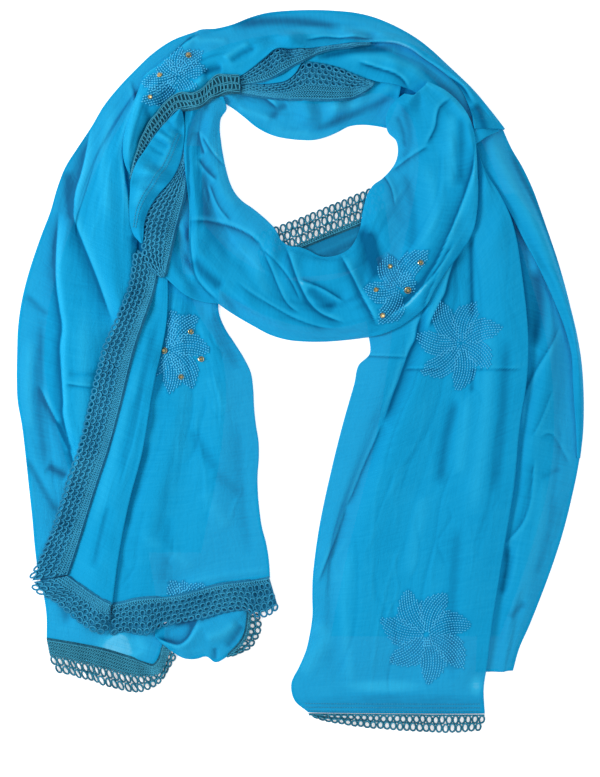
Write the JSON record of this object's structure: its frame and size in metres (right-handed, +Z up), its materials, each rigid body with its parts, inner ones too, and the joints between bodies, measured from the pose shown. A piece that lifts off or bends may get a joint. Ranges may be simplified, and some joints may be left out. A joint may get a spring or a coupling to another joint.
{
  "type": "dupatta stole, a long chiffon scarf lying flat, wound once round a neck opening",
  "caption": "Turquoise chiffon dupatta lying flat, wound once round a neck opening, with lace edges and tone-on-tone flowers.",
  "frame": {"origin": "middle of the stole's outline, on the surface it lies on", "axes": "+Z up out of the surface it lies on, +Y from the tails toward the back of the neck, +X toward the plain tail"},
  "size_m": [0.5403, 0.6885, 0.0233],
  "materials": {
    "turquoise_chiffon": "sheer crinkled chiffon, soft sheen",
    "chiffon_folded": "the same chiffon in folded layers, deeper",
    "cotton_lace": "matt crochet lace, teal",
    "embroidery_thread": "tone-on-tone chain stitch, soft shine",
    "gold_stone": "small faceted foiled stones"
  },
  "bodies": {
    "root": {"folded_layers_inside": "chiffon_folded", "cowl_layers_inside": "chiffon_folded", "neck_back_panel": "chiffon_folded", "neck_back_lace": "cotton_lace", "outer_left_fall": "turquoise_chiffon", "left_under_lace": "cotton_lace", "outer_right_fall": "turquoise_chiffon", "outer_right_band": "turquoise_chiffon", "twisted_flap": "turquoise_chiffon", "twisted_flap_lace": "cotton_lace", "left_tail_front": "turquoise_chiffon", "left_front_end_lace": "cotton_lace", "left_tail_edge_strip": "turquoise_chiffon", "left_side_lace": "cotton_lace", "left_strip_end_lace": "cotton_lace", "right_tail_front": "turquoise_chiffon", "right_tail_end_lace": "cotton_lace", "back_neck_inner_band": "turquoise_chiffon", "nape_shoulder_band": "turquoise_chiffon", "nape_lower_lace": "cotton_lace", "nape_wedge": "turquoise_chiffon", "nape_upper_lace": "cotton_lace", "cowl_under_fold": "turquoise_chiffon", "cowl_under_lace": "cotton_lace", "cowl": "turquoise_chiffon", "collar_outer_band": "turquoise_chiffon", "shoulder_edge_lace": "cotton_lace", "left_shoulder_leaf": "turquoise_chiffon"}
  },
  "joints": []
}
